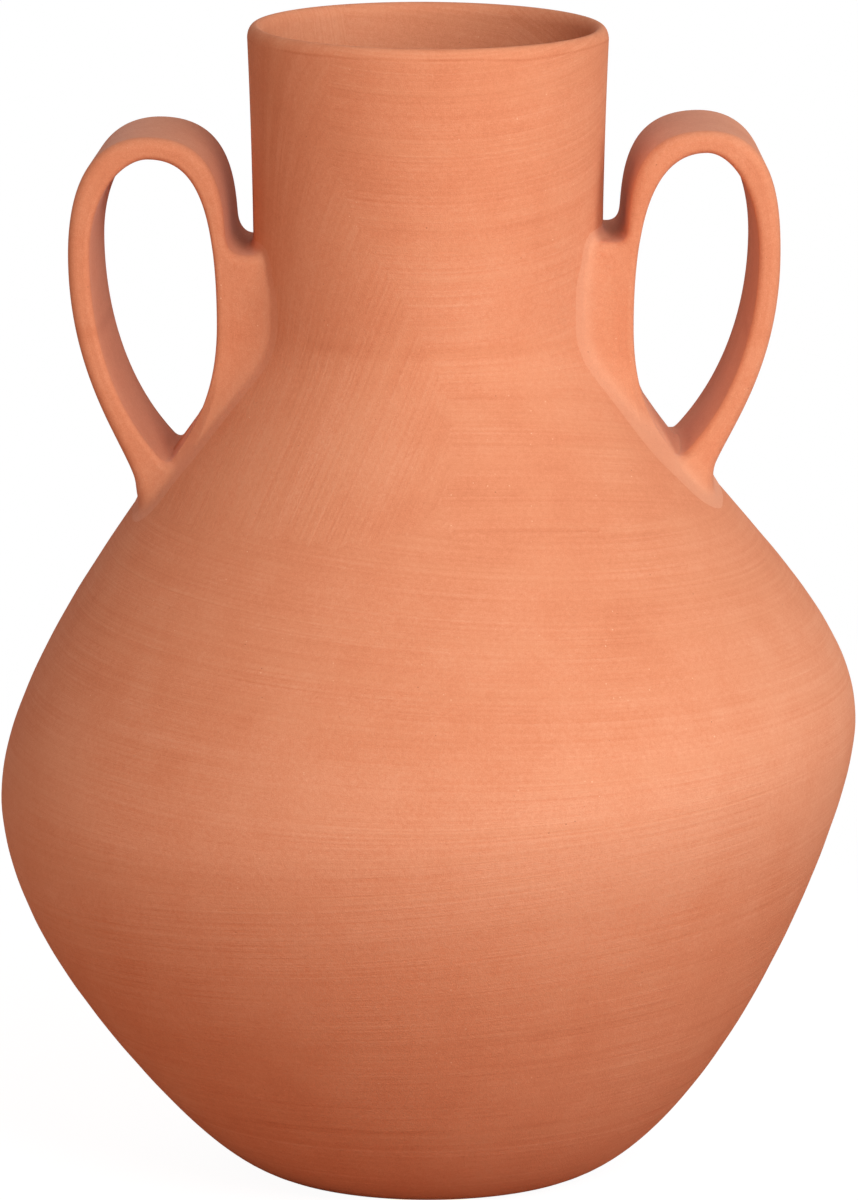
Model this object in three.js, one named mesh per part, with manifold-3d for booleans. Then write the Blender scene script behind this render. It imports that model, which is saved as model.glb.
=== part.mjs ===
// Two-handled terracotta vase, unglazed and thrown on a wheel, in millimetres with +Z up.
// The origin is the centre of the flat base that the vase stands on. +X runs from the left handle to
// the right handle, and -Y faces the viewer.
// Four pieces of clay, each luted to the next: the body, the neck set on the seam at the top of the
// shoulder, and two strap handles pressed on to the neck and the shoulder.
import * as THREE from "three";
import { mergeVertices } from "three/addons/utils/BufferGeometryUtils.js";
import Module from "manifold-3d";

// Body: a small flat base, a steep lower wall, a round belly and a nearly straight shoulder.
const BASE_RADIUS = 50.5;
const BASE_RISE = 12; // degrees, how the wall leaves the base
const BASE_BEND = 31; // how far the wall keeps that direction
const BELLY_RADIUS = 133.5;
const BELLY_HEIGHT = 131;
const BELLY_BEND_BELOW = 40;
const BELLY_BEND_ABOVE = 38;
const SHOULDER_LEAN = 33; // degrees from upright, where the shoulder meets the neck
const SHOULDER_BEND = 53;
const SEAM_HEIGHT = 263; // where the neck sits on the shoulder
const BODY_WALL = 5.5;
const FLOOR_THICKNESS = 8;

// The belly sags to the left: each throwing ring tilts, most at this height.
const TILT = 0.097; // rise for each millimetre to the right
const TILT_HEIGHT = 113.5;

// Neck: nearly a cylinder, a little wider at its rounded lip.
const NECK_HEIGHT = 97;
const NECK_FOOT_RADIUS = 53.8;
const NECK_WAIST_RADIUS = 53.7;
const LIP_RADIUS = 55.6;
const LIP_DROP = 4; // from the top of the lip to its widest ring
const LIP_TILT = -0.006; // rise of the lip for each millimetre to the right
const NECK_WALL = 4.8;

// Handles: straps whose broad faces look outwards, filled in solid where they lie on the neck.
const STRAP_WIDTH = 49;
const STRAP_THICKNESS = 6.8;
const STRAP_EDGE = 2.4; // rounding along both edges of a strap
const PAD_RISE = 7; // from the seam to the place where the pad on the neck is thinnest
const HEEL_THICKNESS = 1.2; // clay left on the shoulder's crest under the finger opening
const ROOT_STANDOFF = 1.7; // how far a strap still stands off the shoulder where it turns into it
const ROOT_DEPTH = 6; // how far a strap's lower end is pressed in before it is trimmed
const LUTING_GAP = 0.3; // slip between two pieces of clay

// Where each strap runs. Heights are taken from the seam and reaches from the foot of the neck.
const LEFT_HANDLE = {
  turn: 176.4, // degrees round the vase from +X
  pad: 9.8, // clay between the neck and the finger opening
  reach: 55.7,
  reachRise: 27.3,
  topReach: 30.8,
  topRise: 64.7,
  notchRise: 24.5,
  rootDrop: 45,
  heelInset: 9.8, // from the root in to the lowest corner of the finger opening
};
const RIGHT_HANDLE = {
  turn: 2,
  pad: 8.6,
  reach: 53.7,
  reachRise: 28.5,
  topReach: 30.8,
  topRise: 67.1,
  notchRise: 28,
  rootDrop: 42,
  heelInset: 10.3,
};

// How finely round surfaces are faceted.
const ROUND_STEPS = 64;
const WALL_STEPS = 11;
const LIP_STEPS = 6;
const STRAP_STEPS = 8;
const EDGE_STEPS = 2;

const CLAY = new THREE.MeshStandardMaterial({
  color: 0xdb8f66,
  roughness: 0.9,
  metalness: 0,
});

const wasm = await Module();
wasm.setup();

const point = (radius, height) => new THREE.Vector2(radius, height);

// A unit vector, its angle in degrees measured from level towards upright.
function direction(degrees) {
  const angle = THREE.MathUtils.degToRad(degrees);
  return point(Math.cos(angle), Math.sin(angle));
}

// A curve that leaves one point along one direction and reaches another along a second one.
function bend(from, leave, to, arrive) {
  return new THREE.CubicBezierCurve(from, from.clone().add(leave), to.clone().sub(arrive), to);
}

// Outside of the body from the edge of the base up to the seam.
function bodyCurves() {
  const base = point(BASE_RADIUS, 0);
  const belly = point(BELLY_RADIUS, BELLY_HEIGHT);
  const seam = point(NECK_FOOT_RADIUS, SEAM_HEIGHT);
  const rise = direction(BASE_RISE).multiplyScalar(BASE_BEND);
  const shoulder = direction(90 + SHOULDER_LEAN).multiplyScalar(SHOULDER_BEND);
  return [
    bend(base, rise, belly, point(0, BELLY_BEND_BELOW)),
    bend(belly, point(0, BELLY_BEND_ABOVE), seam, shoulder),
  ];
}

// The same outside, moved along its normal: inwards for the inside wall, outwards for a clearance.
function bodyOutline(inset) {
  return bodyCurves().flatMap((curve, part) => {
    const steps = [...Array(WALL_STEPS + 1).keys()].slice(part === 0 ? 0 : 1);
    return steps.map((step) => {
      const along = step / WALL_STEPS;
      const tangent = curve.getTangent(along);
      return curve.getPoint(along).add(point(-tangent.y, tangent.x).multiplyScalar(inset));
    });
  });
}

// The point where an outline that rises all the way reaches a height, on its last stretch or on
// that stretch drawn further if the outline ends below it.
function atHeight(outline, height) {
  const last = outline.length - 1;
  const above = THREE.MathUtils.clamp(outline.filter((p) => p.y < height).length, 1, last);
  const [low, high] = [outline[above - 1], outline[above]];
  return low.clone().lerp(high, (height - low.y) / (high.y - low.y));
}

// The point where the shoulder, drawn from the belly up, has narrowed to a radius.
function atRadius(shoulder, radius) {
  const last = shoulder.length - 1;
  const above = THREE.MathUtils.clamp(shoulder.filter((p) => p.x > radius).length, 1, last);
  const [low, high] = [shoulder[above - 1], shoulder[above]];
  return low.clone().lerp(high, (radius - low.x) / (high.x - low.x));
}

// The part of an outline strictly between two heights, closed by its points at both heights.
function between(outline, low, high) {
  const inside = outline.filter((p) => p.y > low && p.y < high);
  return [atHeight(outline, low), ...inside, atHeight(outline, high)];
}

// How far a throwing ring of the body climbs for each millimetre to the right. The rings at the base
// and at the seam stay level.
function bodyTilt(height) {
  const span = height < TILT_HEIGHT ? TILT_HEIGHT : SEAM_HEIGHT - TILT_HEIGHT;
  const away = Math.min(1, Math.abs(height - TILT_HEIGHT) / span);
  return TILT * Math.cos((Math.PI / 2) * away) ** 2;
}

// A profile of (radius, height) points, drawn upwards on its outside and spun round the Z axis.
function spin(profile) {
  return new THREE.LatheGeometry(profile, ROUND_STEPS).rotateX(Math.PI / 2);
}

// A spun shape whose rings climb to the right by a share that depends on their height.
function tilted(geometry, climb) {
  const places = geometry.getAttribute("position");
  for (let i = 0; i < places.count; i++) {
    places.setZ(i, places.getZ(i) + climb(places.getZ(i)) * places.getX(i));
  }
  return geometry;
}

function bodyGeometry() {
  const outside = bodyOutline(0);
  const inside = between(bodyOutline(BODY_WALL), FLOOR_THICKNESS, SEAM_HEIGHT);
  const profile = [point(0, 0), ...outside, ...inside.reverse(), point(0, FLOOR_THICKNESS)];
  return tilted(spin(profile), bodyTilt);
}

// Outside of the neck, from its foot at height 0 up to the widest ring of the lip.
function neckOutline(outset) {
  const foot = point(NECK_FOOT_RADIUS + outset, 0);
  const lip = point(LIP_RADIUS + outset, NECK_HEIGHT - LIP_DROP);
  const waist = point(NECK_WAIST_RADIUS + outset, NECK_HEIGHT / 2);
  return new THREE.QuadraticBezierCurve(foot, waist, lip).getPoints(LIP_STEPS);
}

// The lip is half an ellipse as wide as the wall, standing on the wall's widest ring.
function neckGeometry() {
  const outside = neckOutline(0);
  const middle = LIP_RADIUS - NECK_WALL / 2;
  const lip = new THREE.EllipseCurve(
    middle, NECK_HEIGHT - LIP_DROP, NECK_WALL / 2, LIP_DROP, 0, Math.PI,
  ).getPoints(LIP_STEPS + 2);
  const inside = neckOutline(-NECK_WALL).reverse();
  const profile = [...outside, ...lip.slice(1, -1), ...inside, outside[0]];
  return tilted(spin(profile), (height) => LIP_TILT * (height / NECK_HEIGHT) ** 2);
}

// A closed mesh as a solid that can be cut.
function solidOf(geometry) {
  const shell = geometry.clone().deleteAttribute("normal").deleteAttribute("uv");
  const merged = mergeVertices(shell, 1e-4);
  return new wasm.Manifold(
    new wasm.Mesh({
      numProp: 3,
      vertProperties: merged.getAttribute("position").array,
      triVerts: new Uint32Array(merged.index.array),
    }),
  );
}

// A solid back as a mesh with flat faces.
function geometryOf(solid) {
  const mesh = solid.getMesh();
  const geometry = new THREE.BufferGeometry();
  geometry.setAttribute("position", new THREE.BufferAttribute(mesh.vertProperties, 3));
  geometry.setIndex(new THREE.BufferAttribute(mesh.triVerts, 1));
  const flat = geometry.toNonIndexed();
  flat.computeVertexNormals();
  return flat;
}

// The vase without its hollow and a luting gap larger, which each strap is pressed against.
function vaseCore() {
  const shoulder = bodyOutline(-LUTING_GAP);
  const [foot, seam] = [shoulder[0], shoulder.at(-1)];
  const bodyProfile = [point(0, foot.y), ...shoulder, point(0, seam.y)];
  const neckProfile = [point(0, 0), ...neckOutline(LUTING_GAP), point(0, NECK_HEIGHT - LIP_DROP)];
  const neck = spin(neckProfile).translate(0, 0, SEAM_HEIGHT);
  return solidOf(tilted(spin(bodyProfile), bodyTilt)).add(solidOf(neck));
}

// The top surface of the shoulder at a radius, straight behind a handle.
function shoulderAt(radius, turn) {
  const ring = atRadius(bodyOutline(0).slice(WALL_STEPS), radius);
  const side = Math.cos(THREE.MathUtils.degToRad(turn));
  return point(ring.x, ring.y + bodyTilt(ring.y) * ring.x * side);
}

// Face of a strap and its finger opening, seen along its width, as radius and height. The lengths
// beside each direction say how far the clay keeps that direction before it bends away.
function strapShape(handle) {
  const neck = NECK_FOOT_RADIUS;
  const ledge = atHeight(bodyOutline(0), SEAM_HEIGHT - handle.rootDrop);
  const root = point(ledge.x + ROOT_STANDOFF, ledge.y);
  const top = point(neck + handle.topReach, SEAM_HEIGHT + handle.topRise);
  const far = point(neck + handle.reach, SEAM_HEIGHT + handle.reachRise);
  const notch = point(neck + STRAP_EDGE, SEAM_HEIGHT + handle.notchRise);
  const along = (degrees, length) => direction(degrees).multiplyScalar(length);

  const outer = new THREE.CurvePath();
  outer.add(bend(notch, along(66, 17), top, along(0, 23)));
  outer.add(bend(top, along(0, 22), far, along(-90, 14)));
  outer.add(bend(far, along(-90, 40), root, along(-96, 11)));
  const buried = [
    point(root.x - ROOT_DEPTH, root.y - ROOT_DEPTH),
    point(neck, root.y),
    point(neck - NECK_WALL, SEAM_HEIGHT),
    point(neck - NECK_WALL, notch.y),
  ];

  const pad = point(neck + handle.pad, SEAM_HEIGHT + PAD_RISE);
  const roof = point(top.x, top.y - STRAP_THICKNESS);
  const cheek = point(far.x - STRAP_THICKNESS, far.y);
  const heel = shoulderAt(root.x - handle.heelInset, handle.turn);
  heel.y += HEEL_THICKNESS;
  const opening = new THREE.CurvePath();
  opening.add(bend(pad, along(90, 44), roof, along(0, 11)));
  opening.add(bend(roof, along(0, 7), cheek, along(-90, 21)));
  opening.add(bend(cheek, along(-90, 20), heel, along(-135.5, 26)));
  opening.add(bend(heel, along(125.5, 14), pad, along(90, 22)));

  const shape = new THREE.Shape([...outer.getPoints(STRAP_STEPS), ...buried]);
  shape.holes.push(new THREE.Path(opening.getPoints(STRAP_STEPS).slice(1).reverse()));
  return shape;
}

function handleGeometry(handle, core) {
  const strap = new THREE.ExtrudeGeometry(strapShape(handle), {
    depth: STRAP_WIDTH - 2 * STRAP_EDGE,
    bevelSize: STRAP_EDGE,
    bevelOffset: -STRAP_EDGE,
    bevelThickness: STRAP_EDGE,
    bevelSegments: EDGE_STEPS,
  });
  strap.translate(0, 0, STRAP_EDGE - STRAP_WIDTH / 2);
  strap.rotateX(Math.PI / 2);
  strap.rotateZ(THREE.MathUtils.degToRad(handle.turn));
  return geometryOf(solidOf(strap).subtract(core));
}

function piece(name, geometry) {
  const mesh = new THREE.Mesh(geometry, CLAY);
  mesh.name = name;
  return mesh;
}

const core = vaseCore();
const neck = piece("neck", neckGeometry());
neck.position.z = SEAM_HEIGHT;

const vase = new THREE.Group();
vase.name = "terracotta_vase";
vase.add(piece("body", bodyGeometry()));
vase.add(neck);
vase.add(piece("left_handle", handleGeometry(LEFT_HANDLE, core)));
vase.add(piece("right_handle", handleGeometry(RIGHT_HANDLE, core)));

export default vase;
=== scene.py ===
"""A two-handled terracotta vase, thrown on a wheel and left unglazed, on a pale studio floor.

Lengths are written in millimetres and turned to metres where they reach a mesh, a lamp or the camera.
The origin is the centre of the flat base, +Z is up, +X runs to the right handle and -Y faces the viewer.
"""

import logging
import math
from abc import ABC, abstractmethod
from dataclasses import dataclass, field
from enum import Enum

import bpy
import numpy as np
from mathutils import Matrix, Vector


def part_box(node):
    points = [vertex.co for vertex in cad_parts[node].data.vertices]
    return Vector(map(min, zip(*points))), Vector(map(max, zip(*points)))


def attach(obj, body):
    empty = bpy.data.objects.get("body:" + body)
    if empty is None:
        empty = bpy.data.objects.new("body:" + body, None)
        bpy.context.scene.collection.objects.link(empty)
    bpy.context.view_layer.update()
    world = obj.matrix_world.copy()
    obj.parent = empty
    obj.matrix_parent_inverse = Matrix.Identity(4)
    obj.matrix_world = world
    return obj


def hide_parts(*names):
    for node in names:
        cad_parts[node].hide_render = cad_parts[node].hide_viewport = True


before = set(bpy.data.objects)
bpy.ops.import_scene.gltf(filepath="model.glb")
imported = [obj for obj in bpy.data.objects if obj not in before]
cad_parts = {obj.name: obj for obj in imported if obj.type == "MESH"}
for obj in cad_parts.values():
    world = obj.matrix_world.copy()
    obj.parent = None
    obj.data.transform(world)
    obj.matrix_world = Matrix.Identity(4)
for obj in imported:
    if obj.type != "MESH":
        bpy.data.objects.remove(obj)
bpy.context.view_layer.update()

LOG = logging.getLogger("vase")
MM = 0.001
WHITE = "#FFFFFF"
QUARTER_TURN = 90.0
SHARP_ANGLE = 50.0
SAME_PLACE = 1e-6
NO_LENGTH = 1e-9
CORNER_STEPS = 24

Socket = bpy.types.NodeSocket


class Axis(Enum):
    """The directions that a CAD node is measured along, by their place in a corner of its box."""

    Y = 1
    Z = 2


def cad_extent(node: str, axis: Axis) -> tuple[float, float]:
    """Lowest and highest place of a CAD node along one axis, in millimetres."""
    low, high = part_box(node)
    return low[axis.value] / MM, high[axis.value] / MM


def aim(degrees: float, length: float) -> np.ndarray:
    """A (radius, height) vector of a length, at an angle measured from level towards upright."""
    angle = math.radians(degrees)
    return length * np.array([math.cos(angle), math.sin(angle)])


def smooth_step(values: np.ndarray, low: float, high: float) -> np.ndarray:
    """Rises from 0 at low to 1 at high: with t the clamped share of the way, 3t squared less 2t cubed."""
    share = np.clip((values - low) / (high - low), 0.0, 1.0)
    return share * share * (3.0 - 2.0 * share)


@dataclass(frozen=True)
class Bend:
    """A cubic curve that leaves one point along one vector and reaches another along a second one."""

    start: np.ndarray
    leave: np.ndarray
    end: np.ndarray
    arrive: np.ndarray

    def points(self, shares: np.ndarray) -> np.ndarray:
        """Points of the curve.

        With s the share of the way, a point is (1-s)^3 of the start, 3(1-s)^2 s of start plus leave,
        3(1-s) s^2 of end less arrive and s^3 of the end.

        Args:
            shares: places along the curve, from 0 to 1.

        Returns:
            One (radius, height) row for each share.
        """
        s = shares[:, None]
        first, last = self.start + self.leave, self.end - self.arrive
        near, far = (1 - s) ** 3 * self.start, s**3 * self.end
        return near + 3 * (1 - s) ** 2 * s * first + 3 * (1 - s) * s**2 * last + far


def bow(start: np.ndarray, corner: np.ndarray, end: np.ndarray, shares: np.ndarray) -> np.ndarray:
    """A curve round a corner: at a share s, (1-s)^2 of start plus 2(1-s) s of corner plus s^2 of end."""
    s = shares[:, None]
    return (1 - s) ** 2 * start + 2 * (1 - s) * s * corner + s**2 * end


def chain(*stretches: np.ndarray) -> np.ndarray:
    """Joins polylines end to end and drops each point that repeats the one before it.

    Args:
        stretches: the polylines' (radius, height) rows, in order.

    Returns:
        The rows of the whole polyline.
    """
    points = np.vstack(stretches)
    moved = np.hypot(*np.diff(points, axis=0).T) > SAME_PLACE
    return points[np.concatenate([[True], moved])]


def straight(steps: int, *corners: np.ndarray) -> np.ndarray:
    """Straight runs from corner to corner, each with the same number of points."""
    return chain(*(np.linspace(start, end, steps) for start, end in zip(corners, corners[1:])))


def resample(points: np.ndarray, shares: np.ndarray) -> np.ndarray:
    """Points at given shares of the length of a polyline, found by straight steps along its arc length.

    Args:
        points: the polyline's rows.
        shares: places along its length, from 0 to 1.

    Returns:
        One row for each share.
    """
    steps = np.hypot(*np.diff(points, axis=0).T)
    length = np.concatenate([[0.0], np.cumsum(steps)])
    wanted = shares * length[-1]
    return np.stack([np.interp(wanted, length, column) for column in points.T], axis=-1)


def cut_heights(points: np.ndarray, low: float, high: float) -> np.ndarray:
    """The part of a rising polyline between two heights, with a point at each.

    Args:
        points: the polyline's (radius, height) rows.
        low: the height where the part starts.
        high: the height where it ends.

    Returns:
        The part's rows.
    """
    inside = points[(points[:, 1] > low) & (points[:, 1] < high)]
    ends = [[np.interp(h, points[:, 1], points[:, 0]), h] for h in (low, high)]
    return np.vstack([ends[:1], inside, ends[1:]])


def offset(points: np.ndarray, distance: float) -> np.ndarray:
    """A polyline moved by a distance along its normal, to the left of its direction of travel.

    Args:
        points: the polyline's rows.
        distance: how far it moves.

    Returns:
        The moved rows.
    """
    along = np.gradient(points, axis=0)
    along /= np.hypot(*along.T)[:, None]
    return points + distance * np.stack([-along[:, 1], along[:, 0]], axis=-1)


def level_row(radii: np.ndarray, height: float) -> np.ndarray:
    """A (radius, height) row for each radius, all at one height."""
    return np.stack([radii, np.full_like(radii, height)], axis=-1)


def round_corner(before: np.ndarray, after: np.ndarray, reach: float) -> tuple[np.ndarray, np.ndarray]:
    """Rounds the corner where one polyline ends and the next starts.

    A bow replaces what lies within a distance of the corner, and is shared out at its middle.

    Args:
        before: points up to the corner.
        after: points from the corner on.
        reach: how far the rounding reaches along both.

    Returns:
        The two polylines, which now meet in the middle of the bow.
    """
    corner = after[0]
    kept_before = before[np.hypot(*(before - corner).T) > reach]
    kept_after = after[np.hypot(*(after - corner).T) > reach]
    curve = bow(kept_before[-1], corner, kept_after[0], np.linspace(0.0, 1.0, CORNER_STEPS + 1))
    middle = CORNER_STEPS // 2
    return np.vstack([kept_before[:-1], curve[: middle + 1]]), np.vstack([curve[middle:], kept_after[1:]])


def soften(loop: np.ndarray, passes: int) -> np.ndarray:
    """Rounds the corners of a closed loop: a pass gives a point half of itself and half of its neighbours.

    Args:
        loop: the loop's rows.
        passes: how often this is done.

    Returns:
        The softer loop.
    """
    for _ in range(passes):
        loop = 0.5 * loop + 0.25 * (np.roll(loop, 1, axis=0) + np.roll(loop, -1, axis=0))
    return loop


def left_normals(loop: np.ndarray) -> np.ndarray:
    """Unit vectors to the left of a closed loop's direction of travel, each the mean of three stations'.

    Args:
        loop: the loop's rows.

    Returns:
        One unit vector for each row.
    """
    along = np.roll(loop, -1, axis=0) - np.roll(loop, 1, axis=0)
    side = np.stack([-along[:, 1], along[:, 0]], axis=-1)
    side /= np.maximum(np.hypot(*side.T)[:, None], NO_LENGTH)
    side = np.roll(side, -1, axis=0) + side + np.roll(side, 1, axis=0)
    return side / np.maximum(np.hypot(*side.T)[:, None], NO_LENGTH)


@dataclass
class ThrownWall:
    """The outside of the whole pot as one profile, which every piece of clay meets.

    Two curves run from the base over the belly to the seam and one from the seam to the lip, and a
    soft hollow replaces the corner between them. Each ring of the body tilts, most at the belly.
    """

    base_radius: float = 50.5
    base_rise: float = 12.0
    base_bend: float = 31.0
    belly_height: float = 131.0
    belly_bend_below: float = 40.0
    belly_bend_above: float = 38.0
    shoulder_lean: float = 33.0
    shoulder_bend: float = 53.0
    neck_foot_radius: float = 53.8
    neck_waist_radius: float = 53.7
    lip_drop: float = 4.0
    lip_tilt: float = -0.006
    tilt: float = 0.097
    tilt_height: float = 113.5
    crease_length: float = 8.5
    fine_steps: int = 900
    corrections: int = 6
    belly_radius: float = field(init=False)
    seam: float = field(init=False)
    lip_radius: float = field(init=False)
    neck_height: float = field(init=False)
    profile: np.ndarray = field(init=False)

    def __post_init__(self) -> None:
        """Takes the main sizes from the frame and draws the profile."""
        self.belly_radius = cad_extent("body", Axis.Y)[1]
        self.lip_radius = cad_extent("neck", Axis.Y)[1]
        self.seam, lip_top = cad_extent("neck", Axis.Z)
        self.neck_height = round(lip_top - self.seam)
        self.profile = self._draw()

    def _draw(self) -> np.ndarray:
        """The profile from the edge of the base to the widest ring of the lip.

        The neck is a bow with its corner at the waist, and the hollow at the seam is a bow as well.

        Returns:
            Rows of (radius, height).
        """
        shares = np.linspace(0.0, 1.0, self.fine_steps)
        base = np.array([self.base_radius, 0.0])
        belly = np.array([self.belly_radius, self.belly_height])
        seam = np.array([self.neck_foot_radius, self.seam])
        waist = np.array([self.neck_waist_radius, self.seam + self.neck_height / 2])
        lip = np.array([self.lip_radius, self.seam + self.neck_height - self.lip_drop])
        below_belly = aim(QUARTER_TURN, self.belly_bend_below)
        lower = Bend(base, aim(self.base_rise, self.base_bend), belly, below_belly)
        lean = aim(QUARTER_TURN + self.shoulder_lean, self.shoulder_bend)
        upper = Bend(belly, aim(QUARTER_TURN, self.belly_bend_above), seam, lean)
        body = chain(lower.points(shares), upper.points(shares))
        below = self.seam - self.crease_length * math.cos(math.radians(self.shoulder_lean))
        left = cut_heights(body, 0.0, below)
        right = cut_heights(bow(seam, waist, lip, shares), self.seam + self.crease_length, lip[1])
        return chain(left, bow(left[-1], seam, right[0], shares), right)

    def radius(self, heights: np.ndarray) -> np.ndarray:
        """Radius of the outside at ring heights, read off the profile."""
        return np.interp(heights, self.profile[:, 1], self.profile[:, 0])

    def climb(self, heights: np.ndarray) -> np.ndarray:
        """How far a ring rises for each millimetre to the right.

        On the body it is the tilt times the squared cosine of a quarter turn spread over the way to
        the base or the seam; on the neck it is the lip's tilt times the squared share of its height.

        Args:
            heights: ring heights.

        Returns:
            The rise for each height.
        """
        body = np.clip(heights, 0.0, self.seam)
        span = np.where(body < self.tilt_height, self.tilt_height, self.seam - self.tilt_height)
        away = np.clip(np.abs(body - self.tilt_height) / span, 0.0, 1.0)
        up_neck = np.clip((heights - self.seam) / self.neck_height, 0.0, None)
        return self.tilt * np.cos(math.pi / 2 * away) ** 2 + self.lip_tilt * up_neck**2

    def turned(self, rings: np.ndarray, around: int) -> np.ndarray:
        """A surface made by turning a profile round the pot's axis and tilting its rings.

        A point at turn t of a ring (r, h) is (r cos t, r sin t, h + climb(h) r cos t).

        Args:
            rings: (radius, height) of each ring.
            around: how many points lie round a ring.

        Returns:
            Places in millimetres, shaped (rings, around, 3).
        """
        turns = np.linspace(0.0, 2 * math.pi, around, endpoint=False)
        radius, height = rings[:, :1], rings[:, 1:]
        x = radius * np.cos(turns)
        return np.stack([x, radius * np.sin(turns), height + self.climb(height) * x], axis=-1)

    def ring_height(self, points: np.ndarray) -> np.ndarray:
        """Height that each point's throwing ring had before it tilted, found by repeated correction.

        Args:
            points: places in millimetres, in rows of three.

        Returns:
            One height for each point.
        """
        height = points[..., 2].copy()
        for _ in range(self.corrections):
            height = points[..., 2] - self.climb(height) * points[..., 0]
        return height

    def clearance(self, points: np.ndarray) -> tuple[np.ndarray, np.ndarray]:
        """How far points lie outside the wall, and which way is straight out of it there.

        The distance is the radius left over at a point's ring, times the cosine of the wall's lean.

        Args:
            points: places in millimetres, in rows of three.

        Returns:
            Distances, negative inside the clay, and unit vectors out of the wall.
        """
        rings = self.ring_height(points)
        half = 0.5
        slope = (self.radius(rings + half) - self.radius(rings - half)) / (2 * half)
        scale = 1.0 / np.sqrt(1.0 + slope**2)
        reach = np.hypot(points[..., 0], points[..., 1])
        side = points[..., :2] / np.maximum(reach, SAME_PLACE)[..., None]
        out = np.concatenate([side * scale[..., None], (-slope * scale)[..., None]], axis=-1)
        return (reach - self.radius(rings)) * scale, out


def grid_object(
    name: str,
    points: np.ndarray,
    closed_rows: bool,
    attributes: dict[str, np.ndarray],
    cap: tuple[np.ndarray, np.ndarray] | None = None,
) -> bpy.types.Object:
    """A closed mesh from a grid of points whose columns run round and join up.

    Args:
        name: name of the piece.
        points: places in millimetres, shaped (rows, columns, 3).
        closed_rows: whether the last row joins the first, as on a ring.
        attributes: values for each grid point, single numbers or vectors, by name.
        cap: the first and the last pole, which close a grid whose rows don't join up.

    Returns:
        The piece's object, at the origin, with its place in its mesh.
    """
    rows, columns = points.shape[:2]
    index = np.arange(rows * columns).reshape(rows, columns)
    start = index if closed_rows else index[:-1]
    following = np.roll(index, -1, axis=0) if closed_rows else index[1:]
    corners = [start, np.roll(start, -1, axis=1), np.roll(following, -1, axis=1), following]
    quads = np.stack(corners, axis=-1).reshape(-1, 4)
    places = points.reshape(-1, 3)
    fans = np.zeros((0, 3), int)
    if cap is not None:
        poles = rows * columns + np.arange(2)
        first, last = index[0], index[-1]
        low = np.stack([np.full(columns, poles[0]), np.roll(first, -1), first], axis=-1)
        high = np.stack([np.full(columns, poles[1]), last, np.roll(last, -1)], axis=-1)
        fans = np.vstack([low, high])
        places = np.vstack([places, *cap])
    loops = np.concatenate([quads.ravel(), fans.ravel()])
    counts = np.concatenate([np.full(len(quads), 4), np.full(len(fans), 3)])
    starts = np.concatenate([[0], np.cumsum(counts)[:-1]])
    mesh = bpy.data.meshes.new(name)
    mesh.vertices.add(len(places))
    mesh.vertices.foreach_set("co", (places * MM).astype(np.float32).ravel())
    mesh.loops.add(len(loops))
    mesh.loops.foreach_set("vertex_index", loops.astype(np.int32))
    mesh.polygons.add(len(counts))
    mesh.polygons.foreach_set("loop_start", starts.astype(np.int32))
    mesh.polygons.foreach_set("use_smooth", np.ones(len(counts), bool))
    mesh.update(calc_edges=True)
    mesh.validate()
    for key, values in attributes.items():
        kind, slot = ("FLOAT_VECTOR", "vector") if values.ndim == 3 else ("FLOAT", "value")
        flat = values.reshape(rows * columns, -1)
        flat = np.vstack([flat, np.repeat(flat[-1:], len(places) - len(flat), axis=0)])
        layer = mesh.attributes.new(key, kind, "POINT")
        layer.data.foreach_set(slot, flat.astype(np.float32).ravel())
    mesh.set_sharp_from_angle(angle=math.radians(SHARP_ANGLE))
    piece = bpy.data.objects.new(name, mesh)
    bpy.context.scene.collection.objects.link(piece)
    return piece


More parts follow.
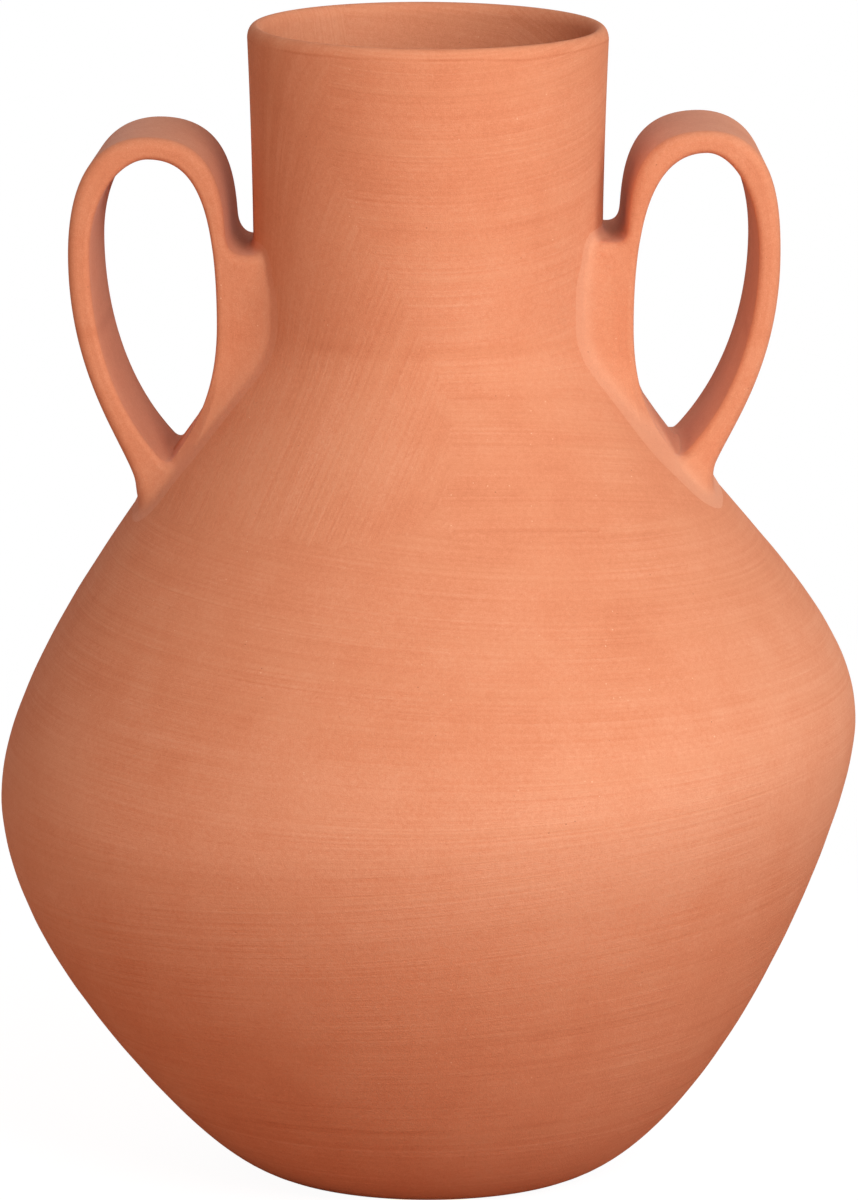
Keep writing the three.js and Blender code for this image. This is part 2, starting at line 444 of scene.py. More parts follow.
@dataclass(frozen=True)
class Strokes:
    """How the potter's hand went over the clay: rings, sweeps of the belly, upright wipes and arcs.

    Each kind of mark gets a vector for every point: its place along a stroke, its place across the
    strokes, both in millimetres, and how strongly it shows. Drops are measured down from the seam,
    and the border lies between the wipes on the left and the arcs on the right, at a turn from the
    front in degrees, with its sway and its soft half width in radians.
    """

    wall: ThrownWall
    girth_spread: float = 0.35
    girth_drop: float = 90.0
    last_drop: float = 62.0
    full_drop: float = 34.0
    back_from: float = 135.0
    back_to: float = 165.0
    border: float = -14.0
    border_sway: float = 0.35
    border_wave: float = 31.0
    border_soft: float = 0.2
    wipe_slant: float = -0.42
    arc_rise: float = 0.0018
    arc_flip: tuple[float, float] = (-18.0, 14.0)
    sweep_slip: float = 0.11
    sweep_from: tuple[float, float] = (112.0, 150.0)

    def on_wall(self, points: np.ndarray) -> dict[str, np.ndarray]:
        """Stroke vectors for points on or near the wall.

        Upright wipes lie on the left of the neck and shoulder: across them runs the arc length round
        the pot plus a share of the height above the seam times the squared cosine of the turn. Arcs lie
        on the right: across them runs the height less a share of the squared arc length, which
        changes its sign at the seam.

        Args:
            points: places in millimetres, in a grid of rows of three.

        Returns:
            The attributes' values by name.
        """
        rings, seam = self.wall.ring_height(points), self.wall.seam
        above = rings - seam
        turn = np.arctan2(points[..., 0], -points[..., 1])
        spread = self.girth_spread * np.clip(-above, 0.0, self.girth_drop)
        girth = turn * (self.wall.neck_foot_radius + spread)
        high = smooth_step(rings, seam - self.last_drop, seam - self.full_drop)
        back = smooth_step(np.abs(turn), math.radians(self.back_from), math.radians(self.back_to))
        shown = high * (1.0 - back)
        edge = math.radians(self.border) + self.border_sway * np.sin(rings / self.border_wave)
        left = 1.0 - smooth_step(turn - edge, -self.border_soft, self.border_soft)
        lean = self.wipe_slant * above * np.cos(turn) ** 2
        lift = self.arc_rise * girth**2 * (2.0 * smooth_step(above, *self.arc_flip) - 1.0)
        slip = self.sweep_slip * smooth_step(rings, *self.sweep_from)
        return {
            "ring": rings,
            "sweep": rings + slip * points[..., 0],
            "wipe": np.stack([rings, girth + lean, shown * left], axis=-1),
            "arc": np.stack([girth, rings - lift, shown * (1.0 - left)], axis=-1),
        }


@dataclass(frozen=True)
class Press:
    """A shallow hollow that a thumb left in the shoulder, as wide as a strap.

    At a place that lies u reaches out and v reaches sideways from its middle, it is as deep as its
    depth times e to the power of minus u squared less v squared.
    """

    turn: float
    radius: float
    depth: float
    reach_out: float = 9.0
    reach_side: float = 24.0

    def depths(self, points: np.ndarray) -> np.ndarray:
        """How deep the hollow is at each point.

        Args:
            points: places in millimetres, in rows of three.

        Returns:
            One depth for each point.
        """
        turn = math.radians(self.turn)
        out = points[..., 0] * math.cos(turn) + points[..., 1] * math.sin(turn)
        side = points[..., 1] * math.cos(turn) - points[..., 0] * math.sin(turn)
        across = (out - self.radius) / self.reach_out
        return self.depth * np.exp(-(across**2) - (side / self.reach_side) ** 2)


@dataclass
class ClayPiece(ABC):
    """A piece of the pot: clay that makes up the thrown wall or is pressed on to it, marked by the hand."""

    wall: ThrownWall
    strokes: Strokes

    @abstractmethod
    def build(self) -> bpy.types.Object:
        """Makes the piece's object."""

    def dress(self, finish: bpy.types.Material, node: str, slot: str) -> None:
        """Builds the piece, gives it its finish, its CAD node and its place in the frame, and reports it.

        Args:
            finish: its material.
            node: the CAD node that it stands for.
            slot: that node's material slot; not used.
        """
        piece = self.build()
        piece.data.materials.append(finish)
        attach(piece, "root")
        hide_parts(node)
        LOG.info("%s stands for %s with %d faces", piece.name, node, len(piece.data.polygons))


@dataclass
class Body(ClayPiece):
    """Base, belly and shoulder, thrown as one wall round a hollow.

    The foot's edge spreads up the wall by a number of its own widths, out of the rough length of the
    outline. Rows are the numbers of rings, and a crowding above 1 sets them closer towards the seam.
    """

    thickness: float = 5.5
    floor: float = 8.0
    foot_edge: float = 1.6
    foot_spread: float = 2.2
    outline_length: float = 300.0
    foot_rows: int = 9
    base_shares: tuple[float, float] = (0.25, 0.97)
    base_rows: int = 6
    floor_corner: float = 9.0
    corner_spread: float = 1.2
    corner_bend: float = 6.0
    corner_rise: float = 60.0
    corner_rows: int = 8
    floor_shares: tuple[float, float] = (0.9, 0.15)
    floor_rows: int = 5
    around: int = 360
    outside_rows: int = 150
    crowding: float = 1.25
    inside_rows: int = 60
    inside_stride: int = 12
    ripple: float = 0.07
    ripple_lengths: tuple[float, ...] = (1.9, 3.1, 5.3)
    ripple_start: tuple[float, float] = (6.0, 30.0)
    ripple_end: tuple[float, float] = (225.0, 250.0)
    press: Press = Press(turn=2.0, radius=69.5, depth=3.2)
    press_drop: float = 40.0

    def profile(self) -> np.ndarray:
        """The outside from the base to the seam, and the inside back down to the floor.

        The foot's edge is a bow from the base to the wall, and the floor's corner is a bend.

        Returns:
            Rows of (radius, height), from the middle of the base to the middle of the floor.
        """
        outer = cut_heights(self.wall.profile, 0.0, self.wall.seam)
        edge_share = self.foot_spread * self.foot_edge / self.outline_length
        foot_end = resample(outer, np.array([edge_share]))[0]
        foot_start = np.array([outer[0, 0] - self.foot_edge, 0.0])
        foot = bow(foot_start, outer[0], foot_end, np.linspace(0.0, 1.0, self.foot_rows))
        under = level_row(np.linspace(*self.base_shares, self.base_rows) * foot_start[0], 0.0)
        close = 1.0 - (1.0 - np.linspace(0.0, 1.0, self.outside_rows)) ** self.crowding
        outside = resample(outer[outer[:, 1] > foot_end[1]], close)[1:]
        inset = offset(outer[:: self.inside_stride], self.thickness)
        inset = inset[inset[:, 1] > 0.0]
        inner = cut_heights(inset, self.floor + self.floor_corner, self.wall.seam)
        inside = resample(inner, np.linspace(1.0, 0.0, self.inside_rows))
        low = inner[0]
        corner = np.array([low[0] - self.corner_spread * self.floor_corner, self.floor])
        bend = Bend(corner, aim(0.0, self.corner_bend), low, aim(self.corner_rise, self.corner_bend))
        curve = bend.points(np.linspace(0.0, 1.0, self.corner_rows))
        middle = level_row(np.linspace(*self.floor_shares, self.floor_rows) * corner[0], self.floor)
        return np.vstack([under, foot, outside, inside, curve[::-1][1:], middle])

    def build(self) -> bpy.types.Object:
        """Makes the body by turning its profile.

        Faint throwing ripples, a sum of sines of the height, only ever take clay away.

        Returns:
            The body's object.
        """
        rings = self.profile()
        height = rings[:, 1]
        waves = sum(np.sin(height / length + phase) for phase, length in enumerate(self.ripple_lengths))
        most = len(self.ripple_lengths)
        shown = smooth_step(height, *self.ripple_start) * (1.0 - smooth_step(height, *self.ripple_end))
        rings[:, 0] -= self.ripple * shown * (waves + most) / most
        points = self.wall.turned(rings, self.around)
        out = self.wall.clearance(points)[1]
        high = smooth_step(height, self.wall.belly_height, self.wall.seam - self.press_drop)[:, None]
        points = points - out * (self.press.depths(points) * high)[..., None]
        cap = (np.array([[0.0, 0.0, 0.0]]), np.array([[0.0, 0.0, self.floor]]))
        return grid_object("vase_body", points, False, self.strokes.on_wall(points), cap)


@dataclass
class Neck(ClayPiece):
    """A thrown collar with a rounded lip, closed into a ring where it sits on the shoulder."""

    thickness: float = 4.8
    around: int = 360
    outside_rows: int = 64
    crowding: float = 1.15
    inside_rows: int = 32
    lip_rows: int = 20
    seat_rows: int = 6

    def build(self) -> bpy.types.Object:
        """Makes the neck by turning its profile.

        The lip is half an ellipse as wide as the wall, and the inside runs straight from it to the
        foot. The mouth's own rings are plain, so no turned line shows inside it.

        Returns:
            The neck's object.
        """
        wall = self.wall
        ring = wall.seam + wall.neck_height - wall.lip_drop
        outer = cut_heights(wall.profile, wall.seam, ring)
        half = self.thickness / 2
        middle = outer[-1, 0] - half
        turn = np.linspace(0.0, math.pi, self.lip_rows)
        lip = np.stack([middle + half * np.cos(turn), ring + wall.lip_drop * np.sin(turn)], axis=-1)
        outside = resample(outer, np.linspace(0.0, 1.0, self.outside_rows) ** self.crowding)
        foot = wall.neck_foot_radius - self.thickness
        inner_radii = np.interp(outer[:, 1], [wall.seam, ring], [foot, lip[-1, 0]])
        inner = np.stack([inner_radii, outer[:, 1]], axis=-1)
        inside = resample(inner, np.linspace(1.0, 0.0, self.inside_rows))
        seat = np.linspace(inside[-1], outside[0], self.seat_rows)[1:-1]
        points = wall.turned(np.vstack([outside, lip[1:-1], inside, seat]), self.around)
        marks = self.strokes.on_wall(points)
        marks["ring"][len(outside) + len(lip) // 2 :] = 0.0
        return grid_object("vase_neck", points, True, marks)


@dataclass(frozen=True)
class SectionCorner:
    """One corner of a strap's section and the faces on both sides of it.

    Deep is 0 at the opening and 1 at the outer face, wide is 1 and -1 at the two edges, and begin is
    the direction, in degrees from straight out, in which the corner's arc starts.
    """

    deep: float
    wide: float
    begin: float
    face: float
    next_face: float


SECTION_CORNERS = (
    SectionCorner(0.0, 1.0, 180.0, 0.0, 1.0),
    SectionCorner(1.0, 1.0, 90.0, 1.0, 2.0),
    SectionCorner(1.0, -1.0, 0.0, 2.0, 1.0),
    SectionCorner(0.0, -1.0, -90.0, 1.0, 0.0),
)


@dataclass(frozen=True)
class Skin:
    """A strap's skin before it is turned into place, with a row of points for each station.

    Plane is (radius, height) and across is the place along the width. Tip and tip_across are the same
    two parts of the direction out of the skin. Face is 0 on the opening's face, 1 on the two edges
    and 2 on the outer face.
    """

    plane: np.ndarray
    across: np.ndarray
    tip: np.ndarray
    tip_across: np.ndarray
    face: np.ndarray


@dataclass(frozen=True)
class SectionGrid:
    """A rounded rectangle across a strap: its depth changes along the strap and its width doesn't.

    An edge's radius stays under a share of the strap's depth there. Broad, narrow and corner are the
    numbers of steps across a face, along an edge and round a corner.
    """

    width: float
    edge: float
    outer_edge: float
    edge_share: float = 0.35
    outer_edge_share: float = 0.45
    broad: int = 26
    narrow: int = 34
    corner: int = 7

    def _walk(self) -> tuple[np.ndarray, np.ndarray, np.ndarray, np.ndarray]:
        """A walk once round the section: round each corner by a quarter turn and straight on to the next.

        Returns:
            Shares of depth and of half the width of each arc's centre, the arc's own angle and the face.
        """
        run: list[np.ndarray] = []
        share = np.linspace(0.0, 1.0, self.corner + 1)
        for here, ahead in zip(SECTION_CORNERS, SECTION_CORNERS[1:] + SECTION_CORNERS[:1]):
            still = np.ones_like(share)
            degrees = here.begin - QUARTER_TURN * share
            faces = here.face + share * (here.next_face - here.face)
            run.append(np.stack([here.deep * still, here.wide * still, degrees, faces]))
            steps = self.broad if here.deep == ahead.deep else self.narrow
            on = np.linspace(0.0, 1.0, steps + 1)[1:-1]
            still = np.ones_like(on)
            deep = here.deep + on * (ahead.deep - here.deep)
            wide = here.wide + on * (ahead.wide - here.wide)
            run.append(np.stack([deep, wide, (here.begin - QUARTER_TURN) * still, here.next_face * still]))
        deep, wide, degrees, face = np.concatenate(run, axis=1)
        return deep, wide, np.radians(degrees), face

    def skin(self, opening: np.ndarray, outer: np.ndarray) -> Skin:
        """The strap's skin over each station of its two loops.

        Both loops are first moved into the clay by the radius of their edges. A point is a share of the
        way from one moved loop to the other, plus the radius along the loop's own direction out of the
        clay times the cosine of its arc, and lies sideways by the rest of the width plus the radius
        times the sine.

        Args:
            opening: (radius, height) rows round the opening.
            outer: the matching rows of the outer edge.

        Returns:
            The skin.
        """
        deep, wide, arc, face = self._walk()
        apart = np.hypot(*np.moveaxis(outer[:, None, :] - opening[None, :, :], -1, 0))
        near = np.minimum(self.edge, self.edge_share * apart.min(axis=0))[:, None, None]
        far = np.minimum(self.outer_edge, self.outer_edge_share * apart.min(axis=1))[:, None, None]
        out, into = left_normals(outer)[:, None, :], -left_normals(opening)[:, None, :]
        first, last = opening[:, None, :] - near * into, outer[:, None, :] - far * out
        over, under = (np.maximum(part, 0.0)[None, :, None] for part in (np.cos(arc), -np.cos(arc)))
        share = deep[None, :, None]
        plane = first + share * (last - first) + far * over * out + near * under * into
        edge = (near + share * (far - near))[..., 0]
        across = wide * (self.width / 2 - edge) + edge * np.sin(arc)
        tip_across, face = (np.broadcast_to(values, across.shape) for values in (np.sin(arc), face))
        return Skin(plane, across, over * out + under * into, tip_across, face)


@dataclass(frozen=True)
class HandleRun:
    """Where a strap runs: rises and drops are from the seam, reaches and gaps from the foot of the neck.

    Turn is the strap's direction in degrees. The pad is pressed to the neck, the notch is the corner
    between neck and arch, the root is where the limb meets the shoulder, and the heel is the lowest
    point of the opening. Joint is how much pale slip shows along the joints.
    """

    name: str
    turn: float
    pad: float
    reach: float
    reach_rise: float
    top_reach: float
    top_rise: float
    notch_rise: float
    notch_gap: float
    notch_round: float
    root_drop: float
    heel_inset: float
    heel_sink: float
    heel_round: float
    joint: float


LEFT_RUN = HandleRun(
    name="strap_left",
    turn=176.4,
    pad=9.8,
    reach=55.7,
    reach_rise=27.3,
    top_reach=30.8,
    top_rise=64.7,
    notch_rise=28.0,
    notch_gap=6.6,
    notch_round=6.2,
    root_drop=45.0,
    heel_inset=9.6,
    heel_sink=1.8,
    heel_round=3.0,
    joint=0.15,
)
RIGHT_RUN = HandleRun(
    name="strap_right",
    turn=2.0,
    pad=8.6,
    reach=53.7,
    reach_rise=28.5,
    top_reach=30.8,
    top_rise=67.1,
    notch_rise=32.4,
    notch_gap=6.4,
    notch_round=3.8,
    root_drop=42.0,
    heel_inset=10.0,
    heel_sink=4.6,
    heel_round=3.6,
    joint=0.36,
)


@dataclass(frozen=True)
class EarCurve:
    """A curve between two named points of an ear, with the (angle, length) it leaves and arrives by."""

    start: str
    leave: tuple[float, float]
    end: str
    arrive: tuple[float, float]


EAR_CURVES = (
    EarCurve("notch", (86.0, 14.0), "top", (0.0, 24.0)),
    EarCurve("top", (0.0, 22.0), "far", (-90.0, 14.0)),
    EarCurve("far", (-90.0, 40.0), "root", (-96.0, 11.0)),
    EarCurve("pad", (90.0, 44.0), "roof", (0.0, 11.0)),
    EarCurve("roof", (0.0, 7.0), "cheek", (-90.0, 21.0)),
    EarCurve("cheek", (-90.0, 20.0), "heel", (-135.5, 26.0)),
    EarCurve("heel", (125.5, 14.0), "pad", (90.0, 22.0)),
)


@dataclass
class StrapHandle(ClayPiece):
    """A pulled strap bent into an ear and pressed on to the neck and the shoulder.

    It is a ring round the finger opening. Each station of the ring is a rounded rectangle between a
    point of the opening and a point of the outer edge, and where its sides near the wall they flare
    into it as wiped clay does. The tuck, the hem and the root's turn are hidden in the wall.
    """

    run: HandleRun
    width: float = 49.0
    thickness: float = 6.8
    edge: float = 1.9
    outer_edge: float = 3.2
    pad_rise: float = 7.0
    root_standoff: float = 1.7
    root_below: tuple[float, float] = (7.0, 7.0)
    root_under: tuple[float, float] = (14.0, 4.0)
    side_flare: float = 8.0
    end_flare: float = 3.0
    root_flare: float = 8.0
    flare_fade: float = 14.0
    tuck_depth: float = 10.0
    tuck_rise: float = 1.0
    tuck_round: float = 8.0
    hem_drop: float = 16.0
    web_span: tuple[float, float] = (13.0, 5.0)
    sunk: float = 1.0
    skirt: float = 2.0
    blend_reach: tuple[float, float] = (0.05, 1.3)
    joint_place: float = 0.7
    joint_width: float = 1.5
    pull_from: tuple[float, float] = (1.0, 9.0)
    pull_deep: float = 0.6
    fine_steps: int = 200
    straight_steps: int = 60
    turn_steps: int = 20
    heel_steps: int = 22
    opening_passes: int = 1
    outer_passes: int = 3
    stations: tuple[int, ...] = (22, 48, 56, 70, 26, 64)

    def shoulder(self, radius: float) -> np.ndarray:
        """The top of the shoulder at a radius, straight behind the handle.

        It lies at the profile's height there plus the climb times the radius times the cosine of the
        strap's turn.

        Args:
            radius: distance from the pot's axis.

        Returns:
            The (radius, height) point.
        """
        profile = self.wall.profile[self.wall.profile[:, 1] > self.wall.belly_height]
        height = float(np.interp(-radius, -profile[:, 0], profile[:, 1]))
        side = math.cos(math.radians(self.run.turn))
        return np.array([radius, height + float(self.wall.climb(np.array(height))) * radius * side])

    def stops(self) -> dict[str, np.ndarray]:
        """The named points that the strap's curves run between.

        Returns:
            A (radius, height) point for each name.
        """
        run, wall = self.run, self.wall
        foot, seam = wall.neck_foot_radius, wall.seam
        root_height = seam - run.root_drop
        root = np.array([float(wall.radius(np.array(root_height))) + self.root_standoff, root_height])
        top = np.array([foot + run.top_reach, seam + run.top_rise])
        far = np.array([foot + run.reach, seam + run.reach_rise])
        notch = np.array([foot + run.notch_gap, seam + run.notch_rise])
        deep = foot - self.tuck_depth
        return {
            "notch": notch,
            "top": top,
            "far": far,
            "root": root,
            "below": root - self.root_below,
            "under": root - self.root_under,
            "hem": np.array([deep, seam - self.hem_drop]),
            "tuck": np.array([deep, notch[1] + self.tuck_rise]),
            "pad": np.array([foot + run.pad, seam + self.pad_rise]),
            "roof": top - [0.0, self.thickness],
            "cheek": far - [self.thickness, 0.0],
            "heel": self.shoulder(root[0] - run.heel_inset) - [0.0, run.heel_sink],
        }

    def loops(self) -> tuple[np.ndarray, np.ndarray]:
        """Matching points of the opening and of the outer edge, once round the ring.

        Six stretches go along the web to the notch, over the arch and down to the root, then under the
        heel and up inside the neck, and on each the two loops are cut at equal shares of their lengths.

        Returns:
            Rows of (radius, height) for the opening and for the outer edge.
        """
        at, fine = self.stops(), np.linspace(0.0, 1.0, self.fine_steps)
        rise, fall, limb, inner_rise, inner_fall, inner_limb, inner_pad = (
            Bend(at[curve.start], aim(*curve.leave), at[curve.end], aim(*curve.arrive)).points(fine)
            for curve in EAR_CURVES
        )
        inner_limb, inner_pad = round_corner(inner_limb, inner_pad, self.run.heel_round)
        web = straight(self.straight_steps, at["tuck"], at["notch"])
        web, rise = round_corner(web, rise, self.run.notch_round)
        hidden = straight(self.straight_steps, at["under"], at["hem"], at["tuck"])
        hidden, web = round_corner(hidden, web, self.tuck_round)
        low, high = (at["notch"][1] - drop for drop in self.web_span)
        heel = self.heel_steps
        opening = (
            cut_heights(inner_rise, low, high),
            cut_heights(inner_rise, high, at["roof"][1]),
            inner_fall,
            inner_limb[:-heel],
            chain(inner_limb[-heel:], inner_pad[:heel]),
            chain(inner_pad[heel:], cut_heights(inner_rise, at["pad"][1], low)),
        )
        root_turn = straight(self.turn_steps, at["root"], at["below"], at["under"])
        outer = (web, rise, fall, limb, root_turn, hidden)
        cuts = [np.linspace(0.0, 1.0, count, endpoint=False) for count in self.stations]
        opening_loop, outer_loop = (
            np.vstack([resample(stretch, shares) for stretch, shares in zip(stretches, cuts)])
            for stretches in (opening, outer)
        )
        return soften(opening_loop, self.opening_passes), soften(outer_loop, self.outer_passes)

    def placed(self, plane: np.ndarray, across: np.ndarray) -> np.ndarray:
        """Turns what was worked out beside the pot into the strap's own direction.

        A point (r, h) that lies w across is r times the level direction out along the strap plus w
        times the one across it, at height h.

        Args:
            plane: parts along (radius, height).
            across: parts along the strap's width.

        Returns:
            The same as (x, y, z).
        """
        turn = math.radians(self.run.turn)
        out = np.array([math.cos(turn), math.sin(turn)])
        side = np.array([-math.sin(turn), math.cos(turn)])
        return np.concatenate([plane[..., :1] * out + across[..., None] * side, plane[..., 1:]], axis=-1)

    def build(self) -> bpy.types.Object:
        """Makes the strap round its opening and lets it into the wall.

        Returns:
            The strap's object.
        """
        opening, outer = self.loops()
        skin = SectionGrid(self.width, self.edge, self.outer_edge).skin(opening, outer)
        facing = self.placed(skin.tip, skin.tip_across)
        points = self.settle(self.placed(skin.plane, skin.across), facing, skin.face)
        marks = self.strokes.on_wall(points)
        away = self.wall.clearance(points)[0]
        steps = np.hypot(*np.diff(0.5 * (opening + outer), axis=0).T)
        along = np.concatenate([[0.0], np.cumsum(steps)])[:, None] + np.zeros_like(skin.across)
        deep = np.hypot(*np.moveaxis(skin.plane - opening[:, None, :], -1, 0))
        pulled = skin.across + self.pull_deep * deep
        marks["joint"] = self.run.joint * np.exp(-(((away - self.joint_place) / self.joint_width) ** 2))
        marks["pull"] = np.stack([along, pulled, smooth_step(away, *self.pull_from)], axis=-1)
        made = grid_object(self.run.name, points, True, marks)
        made.data.normals_split_custom_set_from_vertices(self.normals(points, skin.face).reshape(-1, 3))
        return made

    def settle(self, points: np.ndarray, facing: np.ndarray, face: np.ndarray) -> np.ndarray:
        """Flares the strap's skin where it nears the wall and keeps its hidden part shallow.

        With w the distance to the wall and R the flare, the skin moves along the wall by
        R less the root of R squared less (R - w) squared, as a round hollow of radius R does, and
        keeps its distance. What lies deeper in the wall than a fixed depth is brought up to it.

        Args:
            points: places of the skin.
            facing: unit vectors out of the skin.
            face: 0 on the opening's face, 1 on the two edges and 2 on the outer face.

        Returns:
            The new places.
        """
        away, out = self.wall.clearance(points)
        notch = self.wall.seam + self.run.notch_rise
        fade = smooth_step(points[..., 2], notch - self.flare_fade, notch)
        side = self.side_flare + fade * (self.end_flare - self.side_flare)
        end = self.root_flare + fade * (self.end_flare - self.root_flare)
        radius = np.where(face < 1.0, face * side, side + (face - 1.0) * (end - side))
        room = np.clip(radius - away, 0.0, radius)
        buried = np.clip(-away, 0.0, self.skirt)
        push = radius - np.sqrt(np.maximum(radius**2 - room**2, 0.0)) + buried * (radius > 0.0)
        tangent = facing - np.sum(facing * out, axis=-1, keepdims=True) * out
        moved = points + tangent * push[..., None]
        reached, out = self.wall.clearance(moved)
        kept = np.where(away > 0.0, away, -self.sunk * smooth_step(-away, 0.0, 2 * self.skirt))
        return moved + out * (kept - reached)[..., None]

    def normals(self, points: np.ndarray, face: np.ndarray) -> np.ndarray:
        """Shading directions: those of the skin, turned into the wall's own where a flare meets it.

        Args:
            points: places of the skin.
            face: 0 on the opening's face, which has no flare, and up to 2 on the others.

        Returns:
            One unit vector for each point.
        """
        along, round_it = (np.roll(points, -1, axis) - np.roll(points, 1, axis) for axis in (0, 1))
        skin = np.cross(round_it, along)
        skin /= np.maximum(np.linalg.norm(skin, axis=-1, keepdims=True), NO_LENGTH)
        away, out = self.wall.clearance(points)
        weight = np.maximum(smooth_step(away, *self.blend_reach), 1.0 - np.minimum(face, 1.0))[..., None]
        mixed = weight * skin + (1.0 - weight) * out
        return mixed / np.linalg.norm(mixed, axis=-1, keepdims=True)


def linear(colour: str) -> tuple[float, float, float, float]:
    """A linear colour from an sRGB hex value.

    Up to 0.04045 a part is divided by 12.92, and above it 0.055 is added, the sum is divided by 1.055
    and raised to the power of 2.4.

    Args:
        colour: the hex value, such as #E38E67.

    Returns:
        Red, green, blue and an alpha of 1.
    """
    parts = [int(colour[i : i + 2], 16) / 255 for i in (1, 3, 5)]
    bright = [c / 12.92 if c <= 0.04045 else ((c + 0.055) / 1.055) ** 2.4 for c in parts]
    return (*bright, 1.0)


def emptied(owner: bpy.types.Material | bpy.types.World) -> bpy.types.NodeTree:
    """Turns a material's or a world's nodes on and clears them.

    Args:
        owner: the material or the world.

    Returns:
        Its empty node tree.
    """
    owner.use_nodes = True
    owner.node_tree.nodes.clear()
    return owner.node_tree


# A Mix node numbers its two inputs and its output anew for each kind of value that it mixes.
VECTOR_FIRST, VECTOR_SECOND, VECTOR_MIXED = 4, 5, 1
COLOUR_FIRST, COLOUR_SECOND, COLOUR_MIXED = 6, 7, 2


@dataclass
class NodeBench:
    """A node tree and the one way that nodes are added to it."""

    tree: bpy.types.NodeTree

    def add(
        self, kind: str, inputs: dict[str | int, object] | None = None, **settings: str
    ) -> bpy.types.Node:
        """Adds a node.

        Args:
            kind: the node's type name without its ShaderNode prefix.
            inputs: a value, or another node's output, for each input by name or number.
            settings: the node's own settings.

        Returns:
            The new node.
        """
        node = self.tree.nodes.new("ShaderNode" + kind)
        for key, value in settings.items():
            setattr(node, key, value)
        for key, value in (inputs or {}).items():
            if isinstance(value, Socket):
                self.tree.links.new(value, node.inputs[key])
            else:
                node.inputs[key].default_value = value
        return node


@dataclass(frozen=True)
class Streaks:
    """One layer of streaks: their length and spacing in millimetres, and what they change."""

    along: float
    across: float
    seed: float
    tone: float = 0.0
    relief: float = 0.0


@dataclass(frozen=True)
class Blots:
    """Soft blots: their size in millimetres, the finer detail in them, and what they change."""

    size: float
    detail: float
    seed: float
    tone: float = 0.0
    relief: float = 0.0


@dataclass(frozen=True)
class Dots:
    """Scattered dots: spacing and radius in millimetres, the share of places with one, and how it shows."""

    spacing: float
    radius: float
    share: float
    seed: float
    strength: float


@dataclass(frozen=True)
class RingBand:
    """A soft band round the pot, darker or paler than the clay round it: mostly a line that the wheel left,
    but the broad pale band over the belly is painted highlight and the dark band just above the neck's
    crease is painted shade.
    """

    ring: float
    width: float
    tone: float


STREAKS = (
    Streaks(170.0, 0.76, seed=0.0, tone=0.24, relief=1.3),
    Streaks(150.0, 2.6, seed=5.0, tone=0.09, relief=0.6),
)
GRAINS = (
    Blots(0.36, 1.0, seed=3.0, tone=0.30, relief=1.1),
    Blots(1.3, 2.0, seed=4.0, tone=0.20, relief=0.7),
)
SLIP_BANDS = Streaks(120.0, 6.0, seed=13.0)
BLUSH = Blots(55.0, 2.0, seed=1.0, tone=0.22)
CLOUDS = Blots(14.0, 3.0, seed=2.0, tone=0.16)
STREAK_PATCHES = Blots(26.0, 1.0, seed=6.0)
RAGGED_EDGE = Blots(5.0, 2.0, seed=8.0)
LINE_WAVER = Blots(30.0, 1.0, seed=9.0)
LINE_BREAKS = Blots(42.0, 1.0, seed=10.0)
DOT_CROWDS = Blots(22.0, 1.0, seed=12.0)
SPECKS = Dots(2.2, 0.20, share=0.16, seed=1.0, strength=0.8)
PITS = Dots(2.6, 0.20, share=0.12, seed=2.0, strength=0.7)
# Painted highlight: a broad paler band round the belly's bulge, where it faces the lamps.
BELLY_PAINTED_HIGHLIGHT = RingBand(124.0, 66.0, 0.13)
TURNED_LINES_AND_CREASE_SHADE = (
    RingBand(32.6, 0.9, -0.12),
    RingBand(24.0, 1.2, 0.06),
    RingBand(55.6, 1.0, -0.07),
    RingBand(104.0, 1.0, 0.04),
    # Painted shade: the dark band at 267 mm darkens the neck just above its crease with the shoulder.
    RingBand(267.0, 3.6, -0.09),
    RingBand(356.6, 0.7, -0.15),
)


